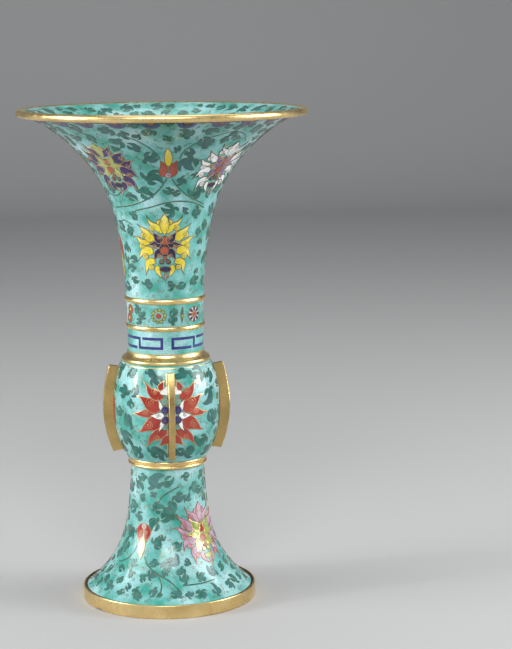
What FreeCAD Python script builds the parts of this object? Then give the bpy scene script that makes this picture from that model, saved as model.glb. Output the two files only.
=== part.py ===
import FreeCAD, Part
import math
import os
import Sketcher

# A gu: a trumpet-mouthed altar vase. Three copper sections, a bell foot, a round knop and a
# flaring neck, stand on one another. Each wears a skin of enamel, and gilt mounts cover the
# seams: foot ring, waist collar, shoulder collar, two fillets, mouth rim and four blade flanges.
# The vase stands on z = 0 with its axis on Z, and the front flange points to -Y.

# Driving dimensions: lengths in millimetres, angles in degrees
SIZES = {
    # walls that all the sections share
    "enamel_depth": 1.0,
    "copper_wall": 1.6,
    "slot_clearance": 0.1,
    "cut_overrun": 2.0,
    # foot ring, with a ledge inside its lip for the foot's turned-out edge
    "foot_ring_height": 11.0,
    "foot_ring_width": 6.5,
    "foot_ring_lip": 1.3,
    "foot_ring_round": 0.7,
    "ledge_drop": 0.6,
    "ledge_width": 1.9,
    "nick_length": 14.0,
    "nick_height": 1.5,
    "nick_depth": 3.2,
    "nick_angle": 57.9,
    # foot: a slim stem that opens into a bell; its waist is slimmer than the neck's root
    "waist_inset": 0.5,
    "waist_angle": 1.1,
    "stem_height": 45.4,
    "stem_angle": 9.2,
    "bell_height": 56.0,
    "bell_angle": 52.8,
    # waist collar: two beads and the groove between them
    "waist_collar_height": 6.8,
    "waist_collar_rise": 1.5,
    "waist_groove_height": 1.0,
    "waist_bead_rise": 1.0,
    "floor_clearance": 0.4,
    # knop: swells from the collar to its belly, and turns in more tightly at the shoulder
    "knop_swell": 13.5,
    "knop_step": 1.8,
    "knop_lower_height": 40.0,
    "knop_upper_height": 33.5,
    "shoulder_angle": 18.9,
    "shoulder_bend": 20.0,
    "shoulder_height": 4.9,
    # blade flanges that stand on the knop
    "flange_thickness": 5.0,
    "flange_reach": 8.1,
    "flange_low_gap": 4.0,
    "flange_high_gap": 3.3,
    "flange_rake": 1.6,
    "flange_round": 0.6,
    # shoulder collar: a bead, a hollow and a lip
    "shoulder_collar_height": 8.7,
    "shoulder_bead_height": 3.5,
    "shoulder_bead_rise": 0.9,
    "shoulder_bead_inset": 0.7,
    "shoulder_hollow_depth": 0.7,
    "shoulder_lip_height": 1.0,
    "shoulder_lip_rise": 0.7,
    # bands between the collar and the neck, from the neck's root up
    "root_radius": 30.2,
    "fret_band_height": 18.4,
    "lower_fillet_height": 4.1,
    "rosette_band_height": 17.6,
    "upper_fillet_height": 4.5,
    "fillet_rise": 1.1,
    # key fret let into the fret band
    "fret_gap_angle": 12.0,
    "fret_turn": -2.4,
    "fret_stroke": 2.3,
    "fret_height": 9.8,
    "fret_base": 3.9,
    # neck: four arcs that open from the throat, a little wider than the root, to the lip
    "throat_spread": 1.3,
    "throat_angle": 1.1,
    "throat_height": 61.6,
    "neck_angle": 12.4,
    "neck_height": 47.4,
    "mouth_angle": 39.6,
    "mouth_height": 29.1,
    "lip_angle": 58.2,
    "lip_height": 7.3,
    "lip_end_angle": 72.9,
    # mouth rim: a rounded moulding round the lip
    "rim_height": 5.9,
    "rim_overhang": 4.9,
    "rim_crown": 0.9,
}

QUARTERS = 4
QUARTER_TURN = 90.0
FULL_TURN = 360.0
FLANGE_NAMES = ("flange_right", "flange_back", "flange_left", "flange_front")

# Strokes of one fret key: start and end along its width, and base and top up its height, all as
# shares of the key between the middles of its outer strokes
FRET_UPRIGHT_SHARES = (0.0, 0.5, 1.0)
FRET_LOW_ARM_SHARES = ((0.0, 0.4), (0.5, 1.0))
FRET_HIGH_ARM_SHARES = ((0.0, 0.5), (0.6, 1.0))

document = FreeCAD.newDocument("gu_vessel")
sheet = document.addObject("Spreadsheet::Sheet", "Sizes")


class Size:
    """A number together with the formula that the sheet gives for it."""

    def __init__(self, value, formula):
        self.value = value
        self.formula = formula

    def join(self, sign, other, value):
        return Size(value, "(" + self.formula + sign + formula_of(other) + ")")

    def __add__(self, other):
        return self.join(" + ", other, self.value + value_of(other))

    def __sub__(self, other):
        return self.join(" - ", other, self.value - value_of(other))

    def __mul__(self, other):
        return self.join(" * ", other, self.value * value_of(other))

    def __truediv__(self, other):
        return self.join(" / ", other, self.value / value_of(other))

    def __neg__(self):
        return Size(-self.value, "(-1 * " + self.formula + ")")


def value_of(item):
    return item.value if isinstance(item, Size) else float(item)


def formula_of(item):
    return item.formula if isinstance(item, Size) else repr(item)


def root(square):
    return Size(math.sqrt(square.value), "sqrt(" + square.formula + ")")


def sine(angle):
    return Size(math.sin(math.radians(angle.value)), "sin(" + angle.formula + ")")


def cosine(angle):
    return Size(math.cos(math.radians(angle.value)), "cos(" + angle.formula + ")")


def fill_sheet():
    """Write every driving dimension into the sheet under its own alias."""
    for row, (alias, number) in enumerate(SIZES.items(), start=1):
        sheet.set("A" + str(row), alias)
        sheet.set("B" + str(row), str(number))
        sheet.setAlias("B" + str(row), alias)
    document.recompute()


def size(alias):
    return Size(SIZES[alias], "Sizes." + alias)


def bind(item, path, amount):
    """Tie one property of an object to the sheet."""
    item.setExpression(path, amount.formula)


def origin_feature(body, role):
    for feature in body.Origin.OriginFeatures:
        if feature.Role == role:
            return feature
    raise RuntimeError("no origin feature " + role)


def new_sketch(body, name, plane):
    sketch = body.newObject("Sketcher::SketchObject", name)
    sketch.AttachmentSupport = [(origin_feature(body, plane), "")]
    sketch.MapMode = "FlatFace"
    return sketch


def point_of(corner):
    return FreeCAD.Vector(value_of(corner[0]), value_of(corner[1]), 0)


def arc_between(start, end, bend):
    """The short arc from start to end; a positive bend turns left on the way."""
    chord = end - start
    half = chord.Length / 2
    side = FreeCAD.Vector(-chord.y, chord.x, 0).normalize()
    reach = math.sqrt(max(bend * bend - half * half, 0))
    centre = (start + end) / 2 + side * math.copysign(reach, bend)
    first, last = (start, end) if bend > 0 else (end, start)
    first_angle = math.atan2(first.y - centre.y, first.x - centre.x)
    last_angle = math.atan2(last.y - centre.y, last.x - centre.x)
    circle = Part.Circle(centre, FreeCAD.Vector(0, 0, 1), abs(bend))
    return Part.ArcOfCircle(circle, first_angle, last_angle)


def draw(sketch, corners):
    """Close a loop through corners (x, z) or (x, z, bend), where bend curves the stretch
    that arrives at the corner, and tie every corner and radius to the sheet."""
    ends = []
    for index, corner in enumerate(corners):
        start = point_of(corners[index - 1])
        end = point_of(corner)
        if len(corner) == 3:
            sketch.addGeometry(arc_between(start, end, corner[2].value), False)
            ends.append((1, 2) if corner[2].value > 0 else (2, 1))
        else:
            sketch.addGeometry(Part.LineSegment(start, end), False)
            ends.append((1, 2))
    constraints = []
    ties = []
    for index, corner in enumerate(corners):
        place = ends[index][1]
        follower = (index + 1) % len(corners)
        constraints.append(
            Sketcher.Constraint("Coincident", index, place, follower, ends[follower][0]))
        for kind, axis, amount in (("DistanceX", -2, corner[0]), ("DistanceY", -1, corner[1])):
            if isinstance(amount, Size):
                ties.append((len(constraints), amount))
                constraints.append(Sketcher.Constraint(kind, index, place, amount.value))
            else:
                constraints.append(Sketcher.Constraint("PointOnObject", index, place, axis))
        if len(corner) == 3:
            radius = corner[2] if corner[2].value > 0 else -corner[2]
            ties.append((len(constraints), radius))
            constraints.append(Sketcher.Constraint("Radius", index, radius.value))
    sketch.addConstraint(constraints)
    for index, amount in ties:
        bind(sketch, "Constraints[" + str(index) + "]", amount)


def revolved(name, corners, level):
    """A piece turned about Z from one closed section, set down at its level."""
    body = document.addObject("PartDesign::Body", name)
    section = new_sketch(body, name + "_section", "XZ_Plane")
    draw(section, corners)
    turning = body.newObject("PartDesign::Revolution", name + "_turning")
    turning.Profile = section
    turning.ReferenceAxis = (section, ["V_Axis"])
    turning.Angle = FULL_TURN
    section.Visibility = False
    set_level(body, level)
    return body


def set_level(item, level):
    if isinstance(level, Size):
        item.Placement.Base.z = level.value
        bind(item, "Placement.Base.z", level)


# Depths of the layers below the outer face of the enamel
zero = Size(0.0, "0")
enamel = size("enamel_depth")
wall = size("copper_wall")
outer_face = zero
copper_face = enamel
inner_face = enamel + wall
mouth_face = enamel + wall + enamel

# Radii that follow the neck's root
waist_radius = size("root_radius") - size("waist_inset")
waist_collar_radius = waist_radius + size("waist_collar_rise")
knop_radius = size("root_radius") + size("knop_swell")
throat_radius = size("root_radius") + size("throat_spread")

# Levels of the seams, from the floor up
ledge_level = size("foot_ring_height") - size("ledge_drop")
foot_height = size("stem_height") + size("bell_height")
waist_level = ledge_level + foot_height
knop_level = waist_level + size("waist_collar_height")
knop_height = size("knop_lower_height") + size("knop_upper_height") + size("shoulder_height")
shoulder_level = knop_level + knop_height
fret_level = shoulder_level + size("shoulder_collar_height")
lower_fillet_level = fret_level + size("fret_band_height")
rosette_level = lower_fillet_level + size("lower_fillet_height")
upper_fillet_level = rosette_level + size("rosette_band_height")
neck_level = upper_fillet_level + size("upper_fillet_height")
tube_height = neck_level - shoulder_level


class Flare:
    """Tangent arcs that curl away from the axis, going up (way 1) or down (way -1). The first
    starts at a given radius and level. Each has a height, and angles are the tangents' leans
    from the vertical at the ends of the arcs."""

    def __init__(self, radius, level, way, angles, heights):
        self.way = way
        self.angles = angles
        self.bends = []
        self.centres = []
        x, z = radius, level
        for height, start, end in zip(heights, angles, angles[1:]):
            bend = height / (sine(end) - sine(start))
            centre_x = x + bend * cosine(start)
            centre_z = z - bend * sine(start) * way
            self.bends.append(bend)
            self.centres.append((centre_x, centre_z))
            x = centre_x - bend * cosine(end)
            z = z + height * way

    def joint(self, index, depth):
        """The point at angle number index, at a depth below the outer face."""
        centre_x, centre_z = self.centres[index - 1]
        radius = self.bends[index - 1] + depth
        angle = self.angles[index]
        return (centre_x - radius * cosine(angle), centre_z + radius * sine(angle) * self.way)

    def at_level(self, index, level, depth):
        """The radius where arc number index crosses a level, at a depth."""
        centre_x, centre_z = self.centres[index]
        radius = self.bends[index] + depth
        drop = centre_z - level
        return centre_x - root(radius * radius - drop * drop)


# Foot, measured from the ledge up
STEM, BELL = 0, 1
foot = Flare(
    waist_radius, foot_height, -1,
    [size("waist_angle"), size("stem_angle"), size("bell_angle")],
    [size("stem_height"), size("bell_height")])


def foot_rise(depth):
    """The foot's face upwards, from wherever the bell starts to the waist."""
    joint_x, joint_z = foot.joint(BELL, depth)
    top_x = foot.at_level(STEM, foot_height, depth)
    bell, stem = foot.bends[BELL] + depth, foot.bends[STEM] + depth
    return [(joint_x, joint_z, -bell), (top_x, foot_height, -stem)]


def foot_fall(depth, level):
    """The same face downwards, from the waist to where the bell meets a level."""
    joint_x, joint_z = foot.joint(BELL, depth)
    low_x = foot.at_level(BELL, level, depth)
    bell, stem = foot.bends[BELL] + depth, foot.bends[STEM] + depth
    return [(joint_x, joint_z, stem), (low_x, level, bell)]


foot_edge_radius = foot.at_level(BELL, zero, outer_face)
foot_copper_radius = foot.at_level(BELL, zero, copper_face)
foot_lip_radius = foot_edge_radius + size("ledge_width")
foot_ring_radius = foot_lip_radius + size("foot_ring_lip")
foot_tube_radius = foot.at_level(STEM, foot_height, copper_face)
foot_bore_radius = foot.at_level(STEM, foot_height, inner_face)


def make_foot_shell():
    """Copper bell with its edge turned out flat and its stem run up through the collar."""
    top = foot_height + size("waist_collar_height")
    corners = [(foot_lip_radius, -wall), (foot_lip_radius, 0), (foot_copper_radius, 0)]
    corners += foot_rise(copper_face)
    corners += [(foot_tube_radius, top), (foot_bore_radius, top), (foot_bore_radius, foot_height)]
    corners += foot_fall(inner_face, -wall)
    return revolved("foot_shell", corners, ledge_level)


def make_foot_enamel():
    corners = [(foot_edge_radius, 0)]
    corners += foot_rise(outer_face)
    corners += [(foot_tube_radius, foot_height)]
    corners += foot_fall(copper_face, zero)
    return revolved("foot_enamel", corners, ledge_level)


def make_foot_ring():
    """Gilt ring, its lip standing round the foot's edge, with one worn nick under the front."""
    edge = size("foot_ring_round")
    height = size("foot_ring_height")
    seat = ledge_level - wall
    inner_radius = foot_ring_radius - size("foot_ring_width")
    corners = [
        (inner_radius, 0),
        (foot_ring_radius - edge, 0),
        (foot_ring_radius, edge, edge),
        (foot_ring_radius, height - edge),
        (foot_ring_radius - edge, height, edge),
        (foot_lip_radius, height),
        (foot_lip_radius, seat),
        (inner_radius, seat),
    ]
    blank = revolved("foot_ring_blank", corners, 0)
    length = size("nick_length")
    rise = size("nick_height")
    scoop = (length * length / 4 + rise * rise) / (rise * 2)
    start = foot_ring_radius - size("nick_depth")
    cutter = document.addObject("Part::Cylinder", "nick_cutter")
    bind(cutter, "Radius", scoop)
    bind(cutter, "Height", size("nick_depth") + size("cut_overrun"))
    lean = math.radians(SIZES["nick_angle"])
    outward = FreeCAD.Vector(-math.sin(lean), -math.cos(lean), 0)
    turn = FreeCAD.Rotation(FreeCAD.Vector(0, 0, 1), outward)
    cutter.Placement = FreeCAD.Placement(outward * start.value, turn)
    bind(cutter, "Placement.Base.x", -start * sine(size("nick_angle")))
    bind(cutter, "Placement.Base.y", -start * cosine(size("nick_angle")))
    bind(cutter, "Placement.Base.z", rise - scoop)
    return cut("foot_ring", blank, cutter)


def cut(name, base, tool):
    """Take a tool from a base, and make sure that something came away."""
    result = document.addObject("Part::Cut", name)
    result.Base = base
    result.Tool = tool
    document.recompute()
    if not result.Shape.Volume < base.Shape.Volume:
        raise RuntimeError(name + " lost nothing to its cutter")
    return result


def bead(height, rise):
    """Radius of an arc that stands out by rise over the height of its chord."""
    return (height * height / 4 + rise * rise) / (rise * 2)


def make_waist_collar():
    height = size("waist_collar_height")
    bead_height = (height - size("waist_groove_height")) / 2
    bend = bead(bead_height, size("waist_bead_rise"))
    corners = [
        (foot_tube_radius, 0),
        (waist_collar_radius, 0),
        (waist_collar_radius, bead_height, bend),
        (waist_collar_radius, height - bead_height),
        (waist_collar_radius, height, bend),
        (foot_tube_radius, height),
    ]
    return revolved("waist_collar", corners, waist_level)


# Knop, measured from its underside up
belly = size("knop_lower_height")
lower_swell = knop_radius - waist_collar_radius - size("knop_step")
lower_bend = bead(belly * 2, lower_swell)
upper_bend = size("knop_upper_height") / sine(size("shoulder_angle"))
shoulder_bend = size("shoulder_bend")
lower_centre = knop_radius - lower_bend
upper_centre = knop_radius - upper_bend
shoulder_centre_x = upper_centre + (upper_bend - shoulder_bend) * cosine(size("shoulder_angle"))
shoulder_centre_z = belly + (upper_bend - shoulder_bend) * sine(size("shoulder_angle"))


def knop_low_radius(level, depth):
    radius = lower_bend - depth
    drop = belly - level
    return lower_centre + root(radius * radius - drop * drop)


def knop_high_radius(level, depth):
    radius = upper_bend - depth
    rise = level - belly
    return upper_centre + root(radius * radius - rise * rise)


def knop_shoulder_radius(level, depth):
    radius = shoulder_bend - depth
    rise = level - shoulder_centre_z
    return shoulder_centre_x + root(radius * radius - rise * rise)


def knop_joint(depth):
    """Where the belly's upper arc passes into the shoulder's, at a depth."""
    radius = upper_bend - depth
    angle = size("shoulder_angle")
    return (upper_centre + radius * cosine(angle), belly + radius * sine(angle))


def knop_rise(depth, low, high):
    """The knop's face from a low level up to a high one."""
    joint_x, joint_z = knop_joint(depth)
    return [
        (knop_low_radius(low, depth), low),
        (knop_radius - depth, belly, lower_bend - depth),
        (joint_x, joint_z, upper_bend - depth),
        (knop_shoulder_radius(high, depth), high, shoulder_bend - depth),
    ]


def knop_fall(depth, low, high):
    """The same face from the top down; the first corner has no bend of its own."""
    joint_x, joint_z = knop_joint(depth)
    return [
        (knop_shoulder_radius(high, depth), high),
        (joint_x, joint_z, depth - shoulder_bend),
        (knop_radius - depth, belly, depth - upper_bend),
        (knop_low_radius(low, depth), low, depth - lower_bend),
    ]


def neck_tube_radius(level, depth):
    """Radius of the straight tube under the bands, at a height above the shoulder."""
    return size("root_radius") + size("throat_spread") * level / tube_height - depth


def make_knop_shell():
    """Copper drum with both ends turned in, to stand on the foot and carry the neck."""
    top_bore = neck_tube_radius(zero, inner_face)
    corners = [(foot_bore_radius, 0)]
    corners += knop_rise(copper_face, zero, knop_height)
    corners += [(top_bore, knop_height), (top_bore, knop_height - wall)]
    corners += knop_fall(inner_face, wall, knop_height - wall)
    corners += [(foot_bore_radius, wall)]
    return revolved("knop_shell", corners, knop_level)


def make_floor_plate():
    """Disc that closes the vessel, laid on the knop's lower turned-in edge."""
    radius = knop_low_radius(wall, inner_face) - size("floor_clearance")
    corners = [(0, wall), (radius, wall), (radius, wall + wall), (0, wall + wall)]
    return revolved("floor_plate", corners, knop_level)


flange_base_low = size("flange_low_gap") + size("flange_rake")
flange_base_high = knop_height - size("flange_high_gap") - size("flange_rake")


def make_knop_enamel():
    """Skin of the knop, slotted so that each flange reaches the copper."""
    corners = knop_rise(outer_face, zero, knop_height)
    corners += knop_fall(copper_face, zero, knop_height)
    body = revolved("knop_enamel", corners, knop_level)
    document.recompute()
    whole = body.Shape.Volume
    slot = new_sketch(body, "knop_enamel_slot", "XZ_Plane")
    half = size("flange_thickness") / 2 + size("slot_clearance")
    rake = size("flange_rake") * enamel / (enamel + size("flange_reach"))
    low = flange_base_low - rake - size("slot_clearance")
    high = flange_base_high + rake + size("slot_clearance")
    draw(slot, [(-half, low), (half, low), (half, high), (-half, high)])
    pocket = body.newObject("PartDesign::Pocket", "knop_enamel_pocket")
    pocket.Profile = slot
    bind(pocket, "Length", knop_radius + size("cut_overrun"))
    slot.Visibility = False
    document.recompute()
    pattern = body.newObject("PartDesign::PolarPattern", "knop_enamel_slots")
    pattern.Originals = [pocket]
    pattern.Axis = (origin_feature(body, "Z_Axis"), [""])
    pattern.Angle = FULL_TURN
    pattern.Occurrences = QUARTERS
    body.Tip = pattern
    document.recompute()
    if not body.Shape.Volume < whole:
        raise RuntimeError("the knop's slots cut nothing")
    return body


def edges_beyond(shape, radius):
    """Names of the edges that run wholly outside a radius from the axis."""
    names = []
    for number, edge in enumerate(shape.Edges, start=1):
        if all(vertex.X > radius for vertex in edge.Vertexes):
            names.append("Edge" + str(number))
    return names


def make_flange(name, number):
    """Blade whose outer edge runs concentric with the knop and whose base seats on the copper."""
    reach = -size("flange_reach")
    low = size("flange_low_gap")
    high = knop_height - size("flange_high_gap")
    low_corner = knop_low_radius(low, reach)
    high_corner = knop_high_radius(high, reach)
    corners = [
        (knop_low_radius(flange_base_low, copper_face), flange_base_low, copper_face - lower_bend),
        (low_corner, low),
        (knop_radius - reach, belly, lower_bend - reach),
        (high_corner, high, upper_bend - reach),
        (knop_high_radius(flange_base_high, copper_face), flange_base_high),
        (knop_radius - copper_face, belly, copper_face - upper_bend),
    ]
    body = document.addObject("PartDesign::Body", name)
    outline = new_sketch(body, name + "_outline", "XZ_Plane")
    draw(outline, corners)
    plate = body.newObject("PartDesign::Pad", name + "_plate")
    plate.Profile = outline
    plate.SideType = "Symmetric"
    bind(plate, "Length", size("flange_thickness"))
    outline.Visibility = False
    document.recompute()
    base_radius = max(corners[0][0].value, corners[4][0].value)
    free_radius = base_radius + SIZES["flange_round"]
    rounding = body.newObject("PartDesign::Fillet", name + "_rounding")
    rounding.Base = (plate, edges_beyond(plate.Shape, free_radius))
    bind(rounding, "Radius", size("flange_round"))
    set_level(body, knop_level)
    body.Placement.Rotation = FreeCAD.Rotation(FreeCAD.Vector(0, 0, 1), number * QUARTER_TURN)
    return body


def make_shoulder_collar():
    """Bead at the knop's top, a hollow above it and a thin lip against the fret band."""
    height = size("shoulder_collar_height")
    bead_height = size("shoulder_bead_height")
    foot_x = knop_shoulder_radius(knop_height, outer_face) - size("shoulder_bead_inset")
    lip_x = neck_tube_radius(height, outer_face) + size("shoulder_lip_rise")
    lip_z = height - size("shoulder_lip_height")
    width, drop = foot_x - lip_x, lip_z - bead_height
    hollow = bead(root(width * width + drop * drop), size("shoulder_hollow_depth"))
    corners = [
        (neck_tube_radius(zero, copper_face), 0),
        (foot_x, 0),
        (foot_x, bead_height, bead(bead_height, size("shoulder_bead_rise"))),
        (lip_x, lip_z, -hollow),
        (lip_x, height),
        (neck_tube_radius(height, copper_face), height),
    ]
    return revolved("shoulder_collar", corners, shoulder_level)


def make_band(name, level, height):
    """Enamel sleeve between two mounts, lying on the neck's tapered tube."""
    base = level - shoulder_level
    top = base + height
    corners = [
        (neck_tube_radius(base, copper_face), 0),
        (neck_tube_radius(base, outer_face), 0),
        (neck_tube_radius(top, outer_face), height),
        (neck_tube_radius(top, copper_face), height),
    ]
    return revolved(name, corners, level)


def make_fillet(name, level, height):
    """Narrow gilt ring with a rounded face."""
    base = level - shoulder_level
    top = base + height
    face = neck_tube_radius(top, outer_face)
    corners = [
        (neck_tube_radius(base, copper_face), 0),
        (face, 0),
        (face, height, bead(height, size("fillet_rise"))),
        (neck_tube_radius(top, copper_face), height),
    ]
    return revolved(name, corners, level)


def fret_stroke(name, turn, span, base, height):
    """One stroke of the fret: a rectangle swept round the axis, through the whole band."""
    depth = inner_face + size("cut_overrun")
    section = document.addObject("Part::Plane", name + "_section")
    bind(section, "Length", depth + size("cut_overrun"))
    bind(section, "Width", height)
    upright = FreeCAD.Rotation(FreeCAD.Vector(1, 0, 0), QUARTER_TURN)
    section.Placement = FreeCAD.Placement(FreeCAD.Vector(0, 0, 0), upright)
    bind(section, "Placement.Base.x", throat_radius - depth)
    bind(section, "Placement.Base.z", base)
    sector = document.addObject("Part::Revolution", name)
    sector.Source = section
    sector.Axis = FreeCAD.Vector(0, 0, 1)
    sector.Solid = True
    bind(sector, "Angle", span)
    sector.Placement.Rotation = FreeCAD.Rotation(FreeCAD.Vector(0, 0, 1), turn.value)
    bind(sector, "Placement.Rotation.Angle", turn)
    return sector


def fret_key(number):
    """A key of seven strokes that doubles back at both ends."""
    name = "fret_key_" + str(number)
    stroke = size("fret_stroke")
    stroke_angle = stroke / size("root_radius") * (FULL_TURN / (2 * math.pi))
    pitch = -size("fret_gap_angle") - stroke_angle + QUARTER_TURN
    start = size("fret_turn") + size("fret_gap_angle") / 2 + QUARTER_TURN * number
    base = fret_level + size("fret_base")
    top = base + size("fret_height") - stroke
    strokes = []
    for index, share in enumerate(FRET_UPRIGHT_SHARES):
        turn = start + pitch * share
        label = name + "_upright_" + str(index)
        strokes.append(fret_stroke(label, turn, stroke_angle, base, size("fret_height")))
    for arms, level, word in ((FRET_LOW_ARM_SHARES, base, "low"), (FRET_HIGH_ARM_SHARES, top, "high")):
        for index, (first, last) in enumerate(arms):
            turn = start + pitch * first
            span = pitch * (last - first) + stroke_angle
            label = name + "_" + word + "_arm_" + str(index)
            strokes.append(fret_stroke(label, turn, span, level, stroke))
    key = document.addObject("Part::MultiFuse", name)
    key.Shapes = strokes
    return key


def make_fret_band():
    """Turquoise band with the blue keys let in flush, each in a pocket of its own shape."""
    blank = make_band("fret_band_blank", fret_level, size("fret_band_height"))
    keys = document.addObject("Part::Compound", "fret_keys")
    keys.Links = [fret_key(number) for number in range(QUARTERS)]
    document.recompute()
    inlays = document.addObject("Part::Common", "fret_inlays")
    inlays.Base = blank
    inlays.Tool = keys
    return [cut("fret_band_enamel", blank, keys), inlays]


# Neck, measured from the upper fillet up
neck = Flare(
    throat_radius, zero, 1,
    [size("throat_angle"), size("neck_angle"), size("mouth_angle"), size("lip_angle"),
     size("lip_end_angle")],
    [size("throat_height"), size("neck_height"), size("mouth_height"), size("lip_height")])
NECK_ARCS = len(neck.bends)


def neck_rise(depth, first):
    """The neck's face upwards, through the ends of arc number first and those after it."""
    corners = []
    for arc in range(first, NECK_ARCS):
        x, z = neck.joint(arc + 1, depth)
        corners.append((x, z, -(neck.bends[arc] + depth)))
    return corners


def neck_fall(depth, last):
    """The neck's face downwards to the start of arc number last; the first corner is the lip."""
    corners = [neck.joint(NECK_ARCS, depth)]
    for arc in range(NECK_ARCS - 1, last, -1):
        x, z = neck.joint(arc, depth)
        corners.append((x, z, neck.bends[arc] + depth))
    return corners


def make_neck_shell():
    """Copper trumpet and the straight tube below it, which stands on the knop."""
    root_outer = neck_tube_radius(zero, copper_face)
    root_inner = neck_tube_radius(zero, inner_face)
    outer_start = neck.at_level(0, zero, copper_face)
    inner_start = neck.at_level(0, zero, inner_face)
    corners = [(root_inner, -tube_height), (root_outer, -tube_height), (outer_start, 0)]
    corners += neck_rise(copper_face, 0)
    corners += neck_fall(inner_face, 0)
    corners += [(inner_start, 0, neck.bends[0] + inner_face)]
    return revolved("neck_shell", corners, neck_level)


def make_neck_enamel():
    outer_start = neck.at_level(0, zero, outer_face)
    inner_start = neck.at_level(0, zero, copper_face)
    corners = [(outer_start, 0)]
    corners += neck_rise(outer_face, 0)
    corners += neck_fall(copper_face, 0)
    corners += [(inner_start, 0, neck.bends[0] + copper_face)]
    return revolved("neck_enamel", corners, neck_level)


def make_mouth_enamel():
    """Skin inside the trumpet, from the lip down to where the throat closes in."""
    low_x, low_z = neck.joint(1, mouth_face)
    corners = neck_rise(inner_face, 1)
    corners += neck_fall(mouth_face, 1)
    corners += [(low_x, low_z, neck.bends[1] + mouth_face), neck.joint(1, inner_face)]
    return revolved("mouth_enamel", corners, neck_level)


def make_mouth_rim():
    """Rounded gilt moulding that closes the edges of both skins and the copper between."""
    under_x, under_z = neck.joint(NECK_ARCS, outer_face)
    over_x, over_z = neck.joint(NECK_ARCS, mouth_face)
    top = over_z + size("rim_crown")
    half = size("rim_height") / 2
    bead_x = under_x + size("rim_overhang") - half
    corners = [
        (under_x, under_z),
        (bead_x, top - size("rim_height")),
        (bead_x + half, top - half, half),
        (bead_x, top, half),
        (over_x, over_z),
    ]
    return revolved("mouth_rim", corners, neck_level)


def make_vessel():
    """Every sub-part under the name of its node."""
    pieces = [
        make_foot_ring(),
        make_foot_shell(),
        make_foot_enamel(),
        make_waist_collar(),
        make_knop_shell(),
        make_floor_plate(),
        make_knop_enamel(),
        make_shoulder_collar(),
        make_neck_shell(),
        make_fillet("lower_fillet", lower_fillet_level, size("lower_fillet_height")),
        make_band("rosette_band_enamel", rosette_level, size("rosette_band_height")),
        make_fillet("upper_fillet", upper_fillet_level, size("upper_fillet_height")),
        make_neck_enamel(),
        make_mouth_enamel(),
        make_mouth_rim(),
    ]
    pieces += make_fret_band()
    for number, name in enumerate(FLANGE_NAMES):
        pieces.append(make_flange(name, number))
    return pieces


def check(pieces):
    """Stop before anything is written if an object failed or a sub-part has no sound solid."""
    for item in document.Objects:
        if "Invalid" in item.State or "Error" in item.State:
            raise RuntimeError(item.Name + " failed to build")
    for piece in pieces:
        if piece.Shape.isNull() or not piece.Shape.isValid() or not piece.Shape.Solids:
            raise RuntimeError(piece.Name + " has no sound solid")


def write(pieces):
    os.makedirs("parts", exist_ok=True)
    for piece in pieces:
        piece.Label = piece.Name
        piece.Shape.exportStep("parts/" + piece.Label + ".step")


fill_sheet()
vessel = make_vessel()
document.recompute()
check(vessel)
write(vessel)
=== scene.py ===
import math

import bpy
import numpy as np
from mathutils import Matrix, Vector


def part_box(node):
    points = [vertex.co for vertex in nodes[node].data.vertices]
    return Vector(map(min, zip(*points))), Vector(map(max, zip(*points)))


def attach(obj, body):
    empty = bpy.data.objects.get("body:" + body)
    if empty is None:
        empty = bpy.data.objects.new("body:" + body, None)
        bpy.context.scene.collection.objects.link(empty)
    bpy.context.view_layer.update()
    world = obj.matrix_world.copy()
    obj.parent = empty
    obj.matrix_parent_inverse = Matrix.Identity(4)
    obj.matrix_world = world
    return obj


# The looks of a cloisonne gu vase. Lengths on the vase are millimetres and angles degrees until
# a mesh is built. Azimuth 0 is the front of the vase, and azimuth grows to the right. A place on
# an enamel skin is an azimuth and a distance along the skin, up from its lower edge. One half of
# the vase is drawn, and the other half repeats it.
MM = 0.001
HALVES = (0, 180)

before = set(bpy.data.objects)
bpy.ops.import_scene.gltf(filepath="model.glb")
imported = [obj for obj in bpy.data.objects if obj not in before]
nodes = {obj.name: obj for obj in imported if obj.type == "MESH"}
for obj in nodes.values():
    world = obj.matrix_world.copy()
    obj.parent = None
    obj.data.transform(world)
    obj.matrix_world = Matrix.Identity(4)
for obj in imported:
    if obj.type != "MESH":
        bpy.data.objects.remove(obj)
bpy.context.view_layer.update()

# Camera of the photograph, measured from the vase's axis before the vase is turned
IMAGE_LONG_SIDE = 649
FOCAL_PIXELS = 1940.98
SENSOR = 36.0
CAMERA_PLACE = (73.36, -1552.06, 474.93)
CAMERA_PITCH = 9.159
CAMERA_ROLL = 0.481
VASE_TURN = 7.5

# Enamel relief: cells lie a little proud of the ground, and wires a little proud of the cells
CELL_LIFT = 0.10
LAYER_STEP = 0.05
CELL_DEPTH = 0.30
WIRE_HALF = 0.26
THIN_WIRE_HALF = 0.21
FINE_WIRE_HALF = 0.16
LEAF_WIRE_HALF = 0.09
WIRE_RISE = 0.045
SHARP_ANGLE = 35

# How finely lines and cells are divided, and how unevenly a hand bends them
CELL_PITCH = 1.1
CURVE_STEPS = 12
FEWEST_POINTS = 7
DISC_ROWS = 9
TONGUE_ROWS = 14
RING_POINTS = 240
LEAST_WIDTH = 0.05
HAND_WOBBLE = 0.3

# Layers of the relief, lowest first, and how many layers one cell lies over the next
VINE = 0
LEAF = 1
PETAL = 3
CROWN = 7.4
HEART = 8
EYE = 10
OVERLAP = 0.4
LEAF_OVERLAP = 0.5
ROW_OVERLAP = 0.8

# The one source of chance, with a set seed, so that each run draws the same
chance = np.random.RandomState(7)


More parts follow.
